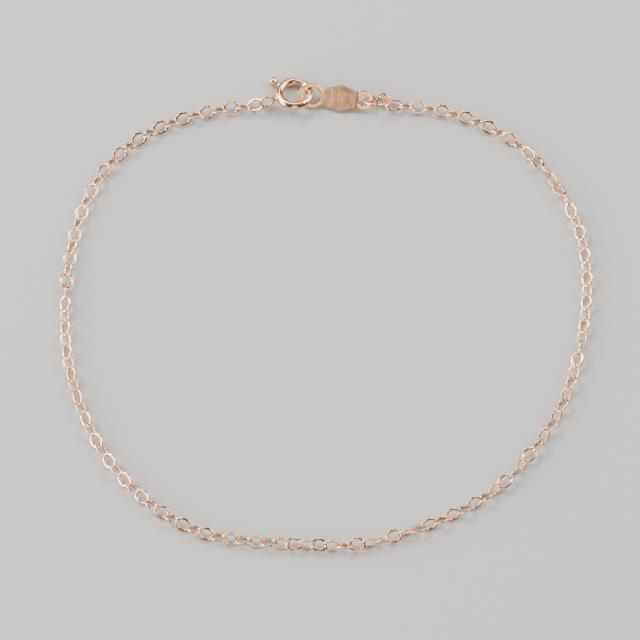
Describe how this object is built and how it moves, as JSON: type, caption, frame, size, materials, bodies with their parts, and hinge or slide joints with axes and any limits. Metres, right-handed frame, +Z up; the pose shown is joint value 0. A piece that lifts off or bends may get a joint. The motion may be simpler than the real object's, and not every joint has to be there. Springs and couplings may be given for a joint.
{
  "type": "cable chain bracelet",
  "caption": "Fine rose gold cable chain bracelet with oval flattened links, a spring ring clasp and a lozenge tag, lying in a loose fastened loop.",
  "frame": {"origin": "on the table, under the middle of the loop's bounding box", "axes": "+Z up from the table, +X the loop's longest way, +Y towards the clasp"},
  "size_m": [0.0672, 0.0637, 0.0025],
  "materials": {
    "polished_rose_gold": "polished 14 carat rose gold",
    "satin_rose_gold": "satin brushed 14 carat rose gold"
  },
  "bodies": {
    "bracelet": {"chain_left": "polished_rose_gold", "chain_right": "polished_rose_gold", "clasp_ring": "polished_rose_gold", "tag": "satin_rose_gold", "jump_ring": "polished_rose_gold"},
    "bolt": {"clasp_bolt": "polished_rose_gold"}
  },
  "joints": [
    {"name": "bolt_slide", "type": "hinge", "parent": "bracelet", "child": "bolt", "pos_m": [-0.00404, 0.0294, 0.00109], "axis": [0, 0.2588, 0.9659], "range_deg": [0, 34], "stiffness_Nm_per_rad": 0.002, "springref_deg": -57.3}
  ]
}
